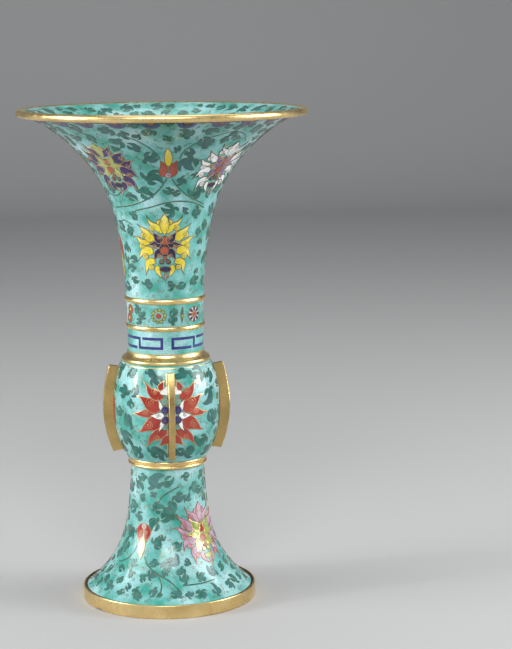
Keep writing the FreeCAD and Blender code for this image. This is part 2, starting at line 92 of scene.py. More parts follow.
class Skin:
    """The visible face of a turned node, read from the frame by rays, as a line of radius and
    level against the distance along it."""

    SAMPLES = 400
    SIDE = Vector((math.sqrt(0.5), math.sqrt(0.5), 0))
    OUTSIDE = 0.3

    def __init__(self, node, inside=False):
        low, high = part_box(node)
        self.inside = inside
        radii, levels = [], []
        for level in np.linspace(low.z, high.z, self.SAMPLES + 2)[1:-1]:
            middle = Vector((0, 0, level))
            start = middle if inside else middle + self.SIDE * self.OUTSIDE
            hit, place, _, _ = nodes[node].ray_cast(start, self.SIDE if inside else -self.SIDE)
            if hit:
                radii.append(place.xy.length / MM)
                levels.append(level / MM)
        self.radius, self.level = np.array(radii), np.array(levels)
        across, up = np.gradient(self.radius), np.gradient(self.level)
        size = np.hypot(across, up) * (-1 if inside else 1)
        self.normal_out, self.normal_up = up / size, -across / size
        steps = np.hypot(np.diff(self.radius), np.diff(self.level))
        self.along = np.concatenate([[0], np.cumsum(steps)])
        self.height = self.along[-1]

    def at(self, values, along):
        return np.interp(along, self.along, values)

    def place(self, azimuth, along, lift):
        """Points of the frame, in metres, at a lift off the face."""
        out = self.at(self.radius, along) + lift * self.at(self.normal_out, along)
        up = self.at(self.level, along) + lift * self.at(self.normal_up, along)
        return np.stack([out * np.sin(azimuth), -out * np.cos(azimuth), up], -1) * MM


class Spot:
    """Where a motif's own flat drawing, x to the right and y up, lies on a skin."""

    def __init__(self, skin, azimuth, along, turn=0.0, scale=1.0, flip=False):
        self.skin = skin
        self.azimuth = azimuth
        self.along = along
        self.turn = turn
        self.scale = scale
        self.flip = flip

    def face(self, points):
        """Angles round the axis and distances up the skin of points of the drawing."""
        turn = math.radians(self.turn)
        x = points[..., 0] * self.scale * (-1 if self.flip else 1)
        y = points[..., 1] * self.scale
        right = x * math.cos(turn) - y * math.sin(turn)
        along = self.along + x * math.sin(turn) + y * math.cos(turn)
        azimuth = math.radians(self.azimuth - VASE_TURN)
        return azimuth + right / self.skin.at(self.skin.radius, along), along

    def mirrored(self):
        return Spot(self.skin, self.azimuth, self.along, self.turn, self.scale, not self.flip)

    def scaled(self, share):
        return Spot(self.skin, self.azimuth, self.along, self.turn, self.scale * share, self.flip)


class Work:
    """Cells and wires laid on one skin, gathered into one mesh for each material. The material
    of the skin's leaves is its own."""

    def __init__(self, node, inside=False, leaf="leaf"):
        self.name = node.replace("_enamel", "_work")
        self.skin = Skin(node, inside)
        self.leaf = leaf
        self.heaps = {}
        self.taken = np.empty((0, 2))

    def spot(self, azimuth, along, turn=0.0, scale=1.0, flip=False):
        return Spot(self.skin, azimuth, along, turn, scale, flip)

    def add(self, material, points, faces, shade):
        empty = {"points": [], "faces": [], "shade": [], "tint": []}
        heap = self.heaps.setdefault(material, empty)
        count = sum(len(part) for part in heap["points"])
        heap["points"].append(points.reshape(-1, 3))
        heap["faces"].append(faces + count)
        heap["shade"].append(np.broadcast_to(shade, points.shape[:-1]).ravel())
        heap["tint"].append(np.full(points.size // 3, chance.rand()))

    def take(self, azimuth, along):
        """Marks places as covered, so that nothing is scattered over them."""
        self.taken = np.concatenate([self.taken, np.stack([azimuth, along], -1).reshape(-1, 2)])

    def cell(self, spot, grid, material, layer):
        """A grid of rows along a cell and columns across it becomes a thin closed slab."""
        azimuth, along = spot.face(grid)
        self.take(azimuth[::2, ::2], along[::2, ::2])
        top = self.skin.place(azimuth, along, CELL_LIFT + LAYER_STEP * layer)
        bottom = self.skin.place(azimuth, along, CELL_LIFT - CELL_DEPTH)
        middle = len(grid) // 2
        across, ahead = grid[middle, -1] - grid[middle, 0], grid[middle + 1, 0] - grid[middle, 0]
        if (np.cross(across, ahead) < 0) ^ spot.flip ^ self.skin.inside:
            top, bottom = top[:, ::-1], bottom[:, ::-1]
        rows, columns = grid.shape[:2]
        share = np.linspace(0, 1, rows)[:, None] * np.ones(columns)
        faces = slab_faces(rows, columns)
        self.add(material, np.stack([top, bottom]), faces, np.stack([share, share]))

    def wire(self, spot, line, layer, closed=False, half=THIN_WIRE_HALF, material="wire"):
        """A line of the drawing becomes a low wire with a ridge."""
        if closed:
            ahead = np.roll(line, -1, 0) - np.roll(line, 1, 0)
        else:
            ahead = np.gradient(line, axis=0)
        ahead = ahead / np.maximum(np.hypot(*ahead.T), LEAST_WIDTH)[:, None]
        side = np.stack([-ahead[:, 1], ahead[:, 0]], -1) * half / spot.scale
        low = CELL_LIFT - CELL_DEPTH
        edge = CELL_LIFT + LAYER_STEP * layer
        strips = []
        for reach, lift in ((-1, low), (-1, edge), (0, edge + WIRE_RISE), (1, edge), (1, low)):
            azimuth, along = spot.face(line + side * reach)
            strips.append(self.skin.place(azimuth, along, lift))
        points = np.stack(strips, 1)
        if spot.flip ^ self.skin.inside:
            points = points[:, ::-1]
        self.add(material, points, strip_faces(len(line), len(strips), closed), 0.5)

    def edged(self, spot, grid, material, layer, half=WIRE_HALF, wire="wire"):
        """A cell with its wire round it."""
        self.cell(spot, grid, material, layer)
        outline = np.concatenate([grid[:, 0], grid[-1, 1:-1], grid[::-1, -1], grid[0, -2:0:-1]])
        apart = np.hypot(*(outline - np.roll(outline, 1, 0)).T) > 2 * LEAST_WIDTH
        self.wire(spot, outline[apart], layer, True, half, wire)

    def free(self, azimuth, along, reach):
        """True if nothing covers the skin within reach of a place."""
        away = self.taken[:, 0] - math.radians(azimuth - VASE_TURN)
        away = (away + math.pi) % (2 * math.pi) - math.pi
        across = away * self.skin.at(self.skin.radius, along)
        return not len(away) or np.hypot(across, self.taken[:, 1] - along).min() > reach

    def fill(self, draw, tries, reach, margin):
        """Draws at free places of one half, and at their repeats on the other. The wider the
        skin is at a height, the more of the tries fall there."""
        for _ in range(tries):
            along = chance.uniform(margin, self.skin.height - margin)
            azimuth = chance.uniform(-90, 90)
            likely = chance.rand() * self.skin.radius.max() < self.skin.at(self.skin.radius, along)
            if likely and all(self.free(azimuth + half, along, reach) for half in HALVES):
                for half in HALVES:
                    draw(self, azimuth + half, along)

    def build(self):
        for material, heap in self.heaps.items():
            mesh = bpy.data.meshes.new(self.name + "_" + material)
            points = np.concatenate(heap["points"])
            faces = np.concatenate(heap["faces"])
            mesh.from_pydata(points.tolist(), [], faces.tolist())
            for key in ("shade", "tint"):
                values = np.concatenate(heap[key]).astype(np.float32)
                mesh.attributes.new(key, "FLOAT", "POINT").data.foreach_set("value", values)
            mesh.shade_smooth()
            mesh.set_sharp_from_angle(angle=math.radians(SHARP_ANGLE))
            mesh.materials.append(materials[material])
            piece = bpy.data.objects.new(mesh.name, mesh)
            bpy.context.scene.collection.objects.link(piece)
            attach(piece, "root")


def slab_faces(rows, columns):
    """Quads of a slab whose points are two grids, the top one first."""
    top, bottom = index = np.arange(rows * columns * 2).reshape(2, rows, columns)
    sheets = [
        np.stack([top[:-1, :-1], top[:-1, 1:], top[1:, 1:], top[1:, :-1]], -1),
        np.stack([bottom[:-1, :-1], bottom[1:, :-1], bottom[1:, 1:], bottom[:-1, 1:]], -1),
    ]
    sides = (index[:, 0, :-1], index[:, :-1, -1], index[:, -1, :0:-1], index[:, :0:-1, 0])
    high, low = np.concatenate(sides, 1)
    border = np.stack([high, low, np.roll(low, -1), np.roll(high, -1)], -1)
    return np.concatenate([sheet.reshape(-1, 4) for sheet in (*sheets, border)])


def strip_faces(count, across, closed):
    """Quads of a strip of count rows, each with its points across the strip."""
    index = np.arange(count * across).reshape(count, across)
    start, end = (index, np.roll(index, -1, 0)) if closed else (index[:-1], index[1:])
    return np.stack([start[:, 1:], start[:, :-1], end[:, :-1], end[:, 1:]], -1).reshape(-1, 4)


# Shapes of the drawing, as grids and lines of flat points

def spline(points, pitch=CELL_PITCH):
    """A smooth line through points, with its own points a pitch apart."""
    points = np.array(points, float)
    padded = np.concatenate([[2 * points[0] - points[1]], points, [2 * points[-1] - points[-2]]])
    parts = []
    for a, b, c, d in zip(padded, padded[1:], padded[2:], padded[3:]):
        u = np.linspace(0, 1, CURVE_STEPS, endpoint=False)[:, None]
        parts.append(0.5 * (2 * b + (c - a) * u + (2 * a - 5 * b + 4 * c - d) * u ** 2
                            + (3 * b - a - 3 * c + d) * u ** 3))
    fine = np.concatenate(parts + [points[-1:]])
    far = np.concatenate([[0], np.cumsum(np.hypot(*np.diff(fine, axis=0).T))])
    share = np.linspace(0, far[-1], max(FEWEST_POINTS, int(far[-1] / pitch) + 2))
    return np.stack([np.interp(share, far, fine[:, k]) for k in (0, 1)], -1)


def widen(line, halves):
    """A grid across a line, as wide on each side as halves says."""
    ahead = np.gradient(line, axis=0)
    ahead = ahead / np.hypot(*ahead.T)[:, None]
    side = np.stack([ahead[:, 1], -ahead[:, 0]], -1)
    columns = max(3, int(2 * halves.max() / CELL_PITCH) + 2)
    across = np.linspace(-1, 1, columns)
    return line[:, None] + side[:, None] * (halves[:, None] * across)[..., None]


def blade(points, half, peak=0.32, taper=1.2):
    """A petal or leaf along a line: widest at peak, with a drawn-out tip."""
    line = spline(points)
    share = np.linspace(0, 1, len(line))
    swell = taper * peak / (1 - peak)
    shape = share ** swell * (1 - share) ** taper
    widest = peak ** swell * (1 - peak) ** taper
    return widen(line, np.maximum(half * shape / widest, LEAST_WIDTH))


def disc(x, y, across, up=None):
    """A round cell, or an oval one if up is given."""
    up = up or across
    angle = np.linspace(0, math.pi, max(DISC_ROWS, int(2 * up / CELL_PITCH) + 3))
    line = np.stack([np.full(len(angle), x), y - up * np.cos(angle)], -1)
    return widen(line, np.maximum(across * np.sin(angle), LEAST_WIDTH))


def tongue(width, length):
    """A cell with a straight top edge at y 0 and a round lower end."""
    depth = np.linspace(0, 1, TONGUE_ROWS)
    line = np.stack([np.zeros(TONGUE_ROWS), -length * depth], -1)
    return widen(line, np.maximum(width / 2 * np.sqrt(1 - depth ** 3), LEAST_WIDTH))


def spiral(x, y, radius, turns=1.3, start=0.0, wound_in=0.85):
    """A line that winds in from its outer end."""
    share = np.linspace(0, 1, int(CURVE_STEPS * turns) + 4)
    angle = math.radians(start) + share * turns * 2 * math.pi
    reach = radius * (1 - wound_in * share)
    return np.array((x, y)) + np.stack([np.cos(angle), np.sin(angle)], -1) * reach[:, None]


def wobble(points):
    """Points moved a little, as a hand that bends wire does."""
    return np.array(points) + chance.normal(0, HAND_WOBBLE, (len(points), 2))


# Motifs. Petals of the right half are centreline, half width and a round lobe's x, y and radius.

NECK_PETALS = (
    (((1.4, 10.6), (4.8, 14.8), (8.8, 17.4), (12.0, 20.6), (14.6, 25.2)), 2.6, (9.6, 15.0, 2.5)),
    (((8.2, 4.4), (12.0, 7.6), (15.6, 10.8), (18.6, 14.0), (22.6, 17.8)), 3.5, (17.0, 8.8, 2.5)),
    (((12.4, 2.0), (16.8, 2.8), (20.0, 4.2), (22.8, 6.6), (27.0, 7.2)), 2.3, (18.4, 0.0, 2.5)),
    (((9.0, -5.8), (13.6, -3.6), (17.6, -4.4), (19.8, -8.0), (22.0, -12.2)), 3.4,
     (15.6, -8.2, 2.5)),
    (((6.8, -13.4), (11.2, -12.8), (14.4, -14.8), (14.8, -19.0), (16.0, -24.2)), 2.8,
     (10.8, -17.2, 2.3)),
    (((6.0, -15.2), (5.6, -20.4), (1.4, -26.4)), 2.1, None),
)
NECK_HEARTS = (
    (((1.8, 3.0), (6.0, 6.8), (9.8, 12.6)), 3.2, (4.4, 7.4, 1.6)),
    (((2.6, 0.8), (8.0, 1.2), (15.0, 0.8)), 2.6, (8.2, -0.2, 1.7)),
    (((2.0, -3.4), (6.0, -6.6), (8.8, -12.6)), 3.2, (4.6, -7.8, 1.6)),
)
KNOP_PETALS = (
    (((8.0, 18.5), (7.2, 22.5), (4.6, 27.8)), 2.4, None),
    (((6.2, 13.6), (12.4, 15.4), (17.0, 18.8), (19.0, 23.4), (23.0, 26.4)), 4.0,
     (13.2, 18.2, 2.4)),
    (((8.6, 4.0), (15.4, 7.4), (21.4, 10.4), (24.8, 13.6), (29.0, 14.2)), 5.6, (17.0, 9.6, 3.3)),
    (((14.6, 0.8), (20.8, 1.2), (26.4, -0.6), (30.0, 0.2), (34.0, -1.2)), 3.2, (21.0, 1.8, 2.3)),
    (((8.6, -4.4), (15.2, -7.8), (21.2, -10.8), (24.8, -14.0), (29.6, -14.8)), 5.6,
     (18.4, -8.8, 3.2)),
    (((3.8, -11.5), (10.2, -16.2), (15.8, -20.0), (18.4, -24.4), (21.6, -28.4)), 4.4,
     (12.0, -19.6, 2.4)),
    (((2.6, -17.0), (5.4, -22.6), (10.8, -27.4)), 3.6, None),
)
KNOP_HEARTS = (
    (((5.4, -0.8), (11.6, -1.2), (18.6, -0.8)), 2.9, (10.8, -0.6, 1.6)),
    (((8.4, 3.0), (8.8, 8.4), (11.8, 13.2)), 1.5, None),
    (((6.6, -4.6), (8.2, -10.4), (11.6, -15.8)), 1.7, None),
)
LEAF_BLADES = (
    (((0.0, 0.0), (3.0, -1.2), (6.4, -0.8), (8.6, 1.2), (9.6, 4.4)), 2.3),
    (((1.6, 0.2), (2.6, 2.4), (4.6, 3.8), (7.2, 4.0)), 1.6),
    (((1.6, -1.0), (3.4, -3.4), (6.4, -4.2), (9.2, -3.2)), 1.6),
    (((1.4, -0.4), (-0.4, -2.0), (-0.6, -4.8)), 1.3),
)
LEAF_MIDDLE = (4.2, -0.2)
LEAF_SIZE = 0.9
SMALL_LEAF_SIZE = 0.66
# How unevenly leaves are drawn: shares of their size, of a blade's length and of its width
LEAF_SIZES = (0.92, 1.1)
BLADE_LENGTHS = (0.7, 1.2)
BLADE_WIDTHS = (0.8, 1.2)

# Further parts of the flowers: centrelines, and x, y and radius of round cells
CROWN_LINE = ((0, 9.0), (0, 17), (0, 27.0))
CROWN_LOBE = (4.0, 19.6, 2.3)
CROWN_CURL = (4.0, 19.6, 1.6)
HEART_OVAL = (0, 0, 4.4, 8.4)
CUP_OVAL = (0.2, -18.8, 4.5, 2.2)
CUP_LOBE = (2.7, -12.8, 1.9)
CUP_CURL = (2.7, -12.8, 1.3)
STALK_LINE = ((0.2, -21), (0.4, -28.5))
LOTUS_EYES = ((0, -9.6, 1.5), (0.2, 4.4, 3.4), (-0.3, -3.7, 3.4))
KNOP_CROWN_LINE = ((0, 15.0), (0, 20), (0, 26.0))
KNOP_GREEN_LOBES = ((5.2, 10.2, 2.9), (5.2, -10.4, 2.4))
KNOP_BLUE_LOBES = ((4.8, 3.4, 3.1), (4.8, -4.6, 3.1))
BUD_TIP_LINE = ((0, 13), (-0.6, 24), (-1.6, 36.5))
BUD_SEPAL_LINE = ((1.4, 0.6), (4.4, 5.4), (4.4, 12.0))
BUD_EYE = (0, 3.2, 2.8, 3.0)
TENDRIL_TAIL = ((4.6, 0.6), (3.0, -1.6), (1.6, -0.6))


def petals(work, spot, rows, material, layer, wire="wire", plump=1.0):
    """Mirrored petals, each with a lobe that a wire winds into, the first row on top."""
    for index, (points, half, lobe) in enumerate(rows):
        level = layer + (len(rows) - 1 - index) * ROW_OVERLAP
        for side in (spot, spot.mirrored()):
            if lobe:
                work.edged(side, disc(*lobe), material, level, THIN_WIRE_HALF, wire)
            shape = blade(wobble(points), half * plump, peak=0.26, taper=2.1)
            work.edged(side, shape, material, level + OVERLAP, THIN_WIRE_HALF, wire)
            if lobe:
                x, y, radius = lobe
                curl = spiral(x, y, radius * 0.72, start=100)
                work.wire(side, curl, level + OVERLAP, material=wire)


def lotus_crown(work, spot, material, wire):
    """The middle petal on top, between two lobes."""
    for side in (spot, spot.mirrored()):
        work.edged(side, disc(*CROWN_LOBE), material, CROWN, wire=wire)
        curl = spiral(*CROWN_CURL, turns=1.2, start=60)
        work.wire(side, curl, CROWN + OVERLAP, material=wire)
    shape = blade(CROWN_LINE, 3.7, peak=0.5, taper=1.1)
    work.edged(spot, shape, material, CROWN + OVERLAP, wire=wire)


def lotus(work, spot, petal, heart, eye, crown, cup, heart_share=1.0, wire="wire", plump=1.0):
    """An open lotus with a crown petal, curled inner petals, three eyes and a cup below."""
    petals(work, spot, NECK_PETALS, petal, PETAL, wire, plump)
    lotus_crown(work, spot, crown, wire)
    inner = spot.scaled(heart_share)
    work.cell(inner, disc(*HEART_OVAL), heart, HEART - OVERLAP)
    petals(work, inner, NECK_HEARTS, heart, HEART, "bright_wire")
    work.edged(spot, disc(*CUP_OVAL), cup, HEART)
    for side in (spot, spot.mirrored()):
        work.edged(side, disc(*CUP_LOBE), cup, HEART)
        work.wire(side, spiral(*CUP_CURL, turns=1.2), HEART, material="bright_wire")
    work.edged(spot, blade(STALK_LINE, 0.9, peak=0.5), "rose", PETAL)
    for place in LOTUS_EYES:
        work.edged(spot, disc(*place), eye, EYE)


def knop_lotus(work, spot):
    """The lotus that a flange stands on, with a white heart and four blue lobes."""
    petals(work, spot, KNOP_PETALS, "red", PETAL, "bright_wire")
    work.edged(spot, blade(KNOP_CROWN_LINE, 8.8, peak=0.2, taper=1.4), "white", HEART)
    for side in (spot, spot.mirrored()):
        for x, y, radius in KNOP_GREEN_LOBES:
            work.edged(side, disc(x, y, radius), "mint", HEART - OVERLAP)
            work.wire(side, spiral(x, y, radius * 0.7, turns=1.4, start=40), HEART - OVERLAP)
        for x, y, radius in KNOP_BLUE_LOBES:
            work.edged(side, disc(x, y, radius), "blue", EYE)
            work.wire(side, spiral(5.4, y, 1.6, turns=1.2, start=200), EYE)
    petals(work, spot, KNOP_HEARTS, "white", HEART)


def bud(work, spot, cap, tip, flare=7.4):
    """A closed bud: a cap that cups a long pointed tip, its two sepals turned out to a flare."""
    work.edged(spot, blade(BUD_TIP_LINE, 3.5, peak=0.42, taper=0.9), tip, PETAL)
    for side in (spot, spot.mirrored()):
        sepal = wobble((*BUD_SEPAL_LINE, (flare, 20.0)))
        work.edged(side, blade(sepal, 3.7, peak=0.44, taper=1.3), cap, PETAL + 1)
        work.wire(side, spiral(4.2, 8.8, 1.5, turns=1.2, start=30), PETAL + 1)
    work.edged(spot, disc(*BUD_EYE), "rose", PETAL + 2)
    work.wire(spot, spiral(0, 3.2, 1.6, start=-90), PETAL + 2)


def leaf(work, azimuth, along, turn=None, size=LEAF_SIZE):
    """A curled leaf with three smaller lobes. Its middle is at the place and its tip at the turn,
    or any way if none is given."""
    turn = chance.uniform(0, 360) if turn is None else turn
    scale = size * chance.uniform(*LEAF_SIZES)
    spot = work.spot(azimuth, along, turn, scale, chance.rand() < 0.5)
    for index, (points, half) in enumerate(LEAF_BLADES):
        line = wobble(points) * chance.uniform(*BLADE_LENGTHS) - np.array(LEAF_MIDDLE)
        shape = blade(line, half * chance.uniform(*BLADE_WIDTHS), peak=0.42, taper=0.9)
        layer = LEAF + (len(LEAF_BLADES) - 1 - index) * LEAF_OVERLAP
        work.edged(spot, shape, work.leaf, layer, LEAF_WIRE_HALF, "leaf_wire")


def small_leaf(work, azimuth, along):
    leaf(work, azimuth, along, size=SMALL_LEAF_SIZE)


def vine(work, points, half=0.55):
    """A stem through places on the skin: a narrow muted cell with a wire along one side."""
    middle = points[len(points) // 2][0]
    flat = [(math.radians(azimuth - middle) * work.skin.at(work.skin.radius, along), along)
            for azimuth, along in points]
    line = spline(flat, 1.5)
    grid = widen(line, np.full(len(line), half))
    for shift in HALVES:
        spot = work.spot(middle + shift, 0)
        work.cell(spot, grid, "stem", VINE)
        work.wire(spot, grid[:, 0], VINE, half=LEAF_WIRE_HALF)


def ring(work, along, half, material="gilt"):
    """A plain line all round the skin."""
    turn = np.linspace(-math.pi, math.pi, RING_POINTS, endpoint=False)
    line = np.stack([turn * work.skin.at(work.skin.radius, along), np.zeros(RING_POINTS)], -1)
    work.wire(work.spot(0, along), line, VINE, True, half, material)


def tendril(work, azimuth, along):
    """A bent wire in the ground that holds the enamel, with no cell of its own."""
    spot = work.spot(azimuth, along, chance.uniform(0, 360), 1.0, chance.rand() < 0.5)
    line = np.concatenate([spline(TENDRIL_TAIL, 0.5), spiral(0, 0, 1.5, turns=1.1)])
    work.wire(spot, line, VINE, half=FINE_WIRE_HALF)
    work.take(*spot.face(line))


def rosette(work, spot, radius, count, petal, centre, start=0.0, plump=2.1):
    """Petals about a centre, the plumper the rounder."""
    for k in range(count):
        turn = math.radians(start + k * 360 / count)
        aim = np.array((math.cos(turn), math.sin(turn)))
        points = [aim * radius * share for share in (0.22, 0.6, 1.0)]
        shape = blade(points, radius * plump / count, peak=0.62, taper=0.6)
        work.edged(spot, shape, petal, PETAL)
    work.edged(spot, disc(0, 0, radius * 0.3), centre, PETAL + 1)


def grow(work, half, flowers, leaves, leaf_share=1.0):
    """Draws the flowers and then the leaves of one half, each given in a table."""
    for motif, azimuth, along, turn, scale, colours in flowers:
        motif(work, work.spot(azimuth + half, along, turn, scale), **colours)
    for azimuth, along, turn, size in leaves:
        leaf(work, azimuth + half, along, turn, size * leaf_share)


# Materials. A colour is linear red, green and blue. A noise is its number of waves in a metre, its
# detail, and then, as ramp takes them, the ends of its values and what these become.

CLOUDS = (31.0, 6.0, 0.50, 0.70)
GRAIN = (900.0, 2.0, 0.35, 0.70, 0.0, 0.35)
POLISH = (160.0, 3.0, 0.30, 0.70, 0.07, 0.19)
RIPPLE = (420.0, 4.0)
GILT_PATCHES = (45.0, 4.0, 0.40, 0.75)
FILM = (300.0, 3.0, 0.58, 0.85, 0.0, 0.12)
RUBBING = (240.0, 4.0, 0.30, 0.70)
TOOTH = (520.0, 5.0)

# An enamel's two tones, without the number of waves, which is each enamel's own
TONES = (3.0, 0.36, 0.64)

# Ends, as ramp takes them, of a cell's own tint, of the way along it and of the distance from a pit
TINTS = (0.35, 1.0)
TIPS = (0.25, 0.95)
PIT_EDGE = (0.05, 0.10, 1.0, 0.0)
PIT_SCALE = 230.0
PIT_COLOUR = (0.02, 0.03, 0.03)

# How dark the grain is beside the deep tone, and the film beside the dull one
GRAIN_SHADE = 0.55
FILM_SHADE = 0.45
GLASS_IOR = 1.52


def mix(tree, factor, first, second):
    node = tree.nodes.new("ShaderNodeMix")
    node.data_type = "RGBA"
    for index, value in ((0, factor), (6, first), (7, second)):
        socket = node.inputs[index]
        if isinstance(value, bpy.types.NodeSocket):
            tree.links.new(value, socket)
        elif isinstance(value, tuple):
            socket.default_value = (*value, 1.0)
        else:
            socket.default_value = value
    return node.outputs[2]


def noise(tree, place, scale, detail):
    node = tree.nodes.new("ShaderNodeTexNoise")
    node.inputs["Scale"].default_value = scale
    node.inputs["Detail"].default_value = detail
    tree.links.new(place, node.inputs["Vector"])
    return node.outputs["Fac"]


def ramp(tree, value, low, high, first=0.0, last=1.0):
    """Value low to high becomes first to last, clamped."""
    node = tree.nodes.new("ShaderNodeMapRange")
    for key, number in (("From Min", low), ("From Max", high), ("To Min", first), ("To Max", last)):
        node.inputs[key].default_value = number
    tree.links.new(value, node.inputs["Value"])
    return node.outputs["Result"]


def patches(tree, place, scale, detail, *ends):
    """A noise as a factor."""
    return ramp(tree, noise(tree, place, scale, detail), *ends)


def bump(tree, shader, height, distance, strength):
    node = tree.nodes.new("ShaderNodeBump")
    node.inputs["Distance"].default_value = distance
    node.inputs["Strength"].default_value = strength
    tree.links.new(height, node.inputs["Height"])
    tree.links.new(node.outputs["Normal"], shader.inputs["Normal"])


def new_material(name):
    made = bpy.data.materials.new(name)
    made.use_nodes = True
    tree = made.node_tree
    shader = tree.nodes["Principled BSDF"]
    place = tree.nodes.new("ShaderNodeTexCoord").outputs["Object"]
    return made, tree, shader, place


def attribute(tree, name):
    node = tree.nodes.new("ShaderNodeAttribute")
    node.attribute_name = name
    return node.outputs["Fac"]


def pits(tree, place):
    """Small dark pits where bubbles in the glass were polished open."""
    node = tree.nodes.new("ShaderNodeTexVoronoi")
    node.inputs["Scale"].default_value = PIT_SCALE
    tree.links.new(place, node.inputs["Vector"])
    return ramp(tree, node.outputs["Distance"], *PIT_EDGE)


def enamel(name, deep, light, tip=None, patch=55.0, cloud=None, other=None):
    """Polished glass enamel: tones in soft patches, a grain, pits and a gentle ripple. Some
    cells are nearer the other tone than the rest."""
    made, tree, shader, place = new_material(name)
    colour = mix(tree, patches(tree, place, patch, *TONES), deep, light)
    if other:
        colour = mix(tree, ramp(tree, attribute(tree, "tint"), *TINTS), colour, other)
    if cloud:
        colour = mix(tree, patches(tree, place, *CLOUDS), colour, cloud)
    if tip:
        colour = mix(tree, ramp(tree, attribute(tree, "shade"), *TIPS), colour, tip)
    grain = patches(tree, place, *GRAIN)
    colour = mix(tree, grain, colour, tuple(GRAIN_SHADE * part for part in deep))
    colour = mix(tree, pits(tree, place), colour, PIT_COLOUR)
    tree.links.new(colour, shader.inputs["Base Color"])
    tree.links.new(patches(tree, place, *POLISH), shader.inputs["Roughness"])
    shader.inputs["IOR"].default_value = GLASS_IOR
    bump(tree, shader, noise(tree, place, *RIPPLE), distance=0.0003, strength=0.16)
    return made


def gilding(name, bright, dull, rough=(0.25, 0.35)):
    """Metal, gilt or bare: two tones in patches, a faint brown film and a fine tooth."""
    made, tree, shader, place = new_material(name)
    colour = mix(tree, patches(tree, place, *GILT_PATCHES), bright, dull)
    film = patches(tree, place, *FILM)
    colour = mix(tree, film, colour, tuple(FILM_SHADE * part for part in dull))
    tree.links.new(colour, shader.inputs["Base Color"])
    shader.inputs["Metallic"].default_value = 1.0
    tree.links.new(patches(tree, place, *RUBBING, *rough), shader.inputs["Roughness"])
    bump(tree, shader, noise(tree, place, *TOOTH), distance=0.0004, strength=0.015)
    return made


materials = {
    "turquoise": enamel("turquoise_look", (0.048, 0.300, 0.242), (0.214, 0.490, 0.486), patch=75.0,
                        cloud=(0.435, 0.660, 0.690)),
    "leaf": enamel("leaf_look", (0.010, 0.095, 0.070), (0.030, 0.185, 0.145), patch=140.0,
                   other=(0.035, 0.120, 0.125)),
    "pale_leaf": enamel("pale_leaf_look", (0.022, 0.125, 0.098), (0.060, 0.230, 0.190), patch=140.0,
                        other=(0.060, 0.165, 0.170)),
    "stem": enamel("stem_look", (0.025, 0.105, 0.085), (0.060, 0.165, 0.135), patch=140.0),
    "mint": enamel("mint_look", (0.120, 0.340, 0.280), (0.260, 0.460, 0.390)),
    "yellow": enamel("yellow_look", (0.580, 0.460, 0.020), (0.720, 0.620, 0.040),
                     tip=(0.800, 0.660, 0.200)),
    "cream": enamel("cream_look", (0.600, 0.560, 0.180), (0.760, 0.740, 0.420)),
    "red": enamel("red_look", (0.290, 0.026, 0.018), (0.400, 0.065, 0.045)),
    "white": enamel("white_look", (0.700, 0.735, 0.740), (0.880, 0.890, 0.890)),
    "navy": enamel("navy_look", (0.008, 0.007, 0.035), (0.026, 0.022, 0.080)),
    "purple": enamel("purple_look", (0.016, 0.011, 0.062), (0.060, 0.040, 0.140)),
    "violet": enamel("violet_look", (0.130, 0.095, 0.190), (0.250, 0.190, 0.290)),
    "lime": enamel("lime_look", (0.200, 0.300, 0.060), (0.380, 0.450, 0.150)),
    "rose": enamel("rose_look", (0.330, 0.195, 0.245), (0.480, 0.360, 0.440), patch=150.0,
                   cloud=(0.580, 0.520, 0.590)),
    "coral": enamel("coral_look", (0.300, 0.050, 0.026), (0.420, 0.100, 0.055)),
    "blue": enamel("blue_look", (0.014, 0.018, 0.120), (0.042, 0.042, 0.230), patch=140.0),
    "gilt": gilding("gilt_look", (0.900, 0.680, 0.315), (0.670, 0.470, 0.185)),
    # The flanges are the same gilt metal as the rims, copied darker: painted shade for the dim
    # reflections on their broad flat faces
    "flange": gilding("flange_painted_shade_look", (0.620, 0.450, 0.180), (0.400, 0.280, 0.110)),
    "wire": gilding("wire_look", (0.290, 0.200, 0.100), (0.130, 0.095, 0.065), (0.35, 0.55)),
    "leaf_wire": gilding("leaf_wire_look", (0.200, 0.150, 0.085), (0.090, 0.075, 0.055),
                         (0.4, 0.6)),
    "bright_wire": gilding("bright_wire_look", (0.800, 0.520, 0.260), (0.520, 0.300, 0.140)),
    "copper": gilding("copper_look", (0.200, 0.120, 0.070), (0.080, 0.050, 0.035), (0.4, 0.65)),
}

NODE_LOOKS = {
    "gilt": ("foot_ring", "waist_collar", "shoulder_collar", "lower_fillet", "upper_fillet",
             "mouth_rim"),
    # The flanges take the darker copy of the gilt, whose darkness is painted shade
    "flange": ("flange_right", "flange_back", "flange_left", "flange_front"),
    "copper": ("foot_shell", "knop_shell", "neck_shell", "floor_plate"),
    "turquoise": ("foot_enamel", "knop_enamel", "neck_enamel", "mouth_enamel",
                  "fret_band_enamel", "rosette_band_enamel"),
    "blue": ("fret_inlays",),
}
for look, names in NODE_LOOKS.items():
    for name in names:
        nodes[name].material_slots[0].material = materials[look]


# Neck

YELLOW_LOTUS = {"petal": "yellow", "heart": "navy", "eye": "coral", "crown": "yellow",
                "cup": "navy"}
PURPLE_LOTUS = {"petal": "purple", "heart": "lime", "eye": "coral", "crown": "lime", "cup": "navy",
                "wire": "bright_wire", "plump": 1.3}
WHITE_LOTUS = {"petal": "white", "heart": "violet", "eye": "coral", "crown": "white", "cup": "navy",
               "heart_share": 1.05, "plump": 0.82}
RED_BUD = {"cap": "red", "tip": "yellow"}
CORAL_BUD = {"cap": "coral", "tip": "yellow"}
NECK_FLOWERS = (
    # motif, azimuth, along, turn, scale, colours
    (lotus, 3.5, 43, 0, 1.0, YELLOW_LOTUS),
    (bud, 100, 50, 180, 1.0, RED_BUD),
    (lotus, -40.5, 113, 0, 1.0, PURPLE_LOTUS),
    (lotus, 51.5, 112, 0, 1.0, WHITE_LOTUS),
    (bud, 6.8, 102, 0, 0.88, CORAL_BUD),
    (bud, 96.8, 102, 0, 0.88, CORAL_BUD),
)
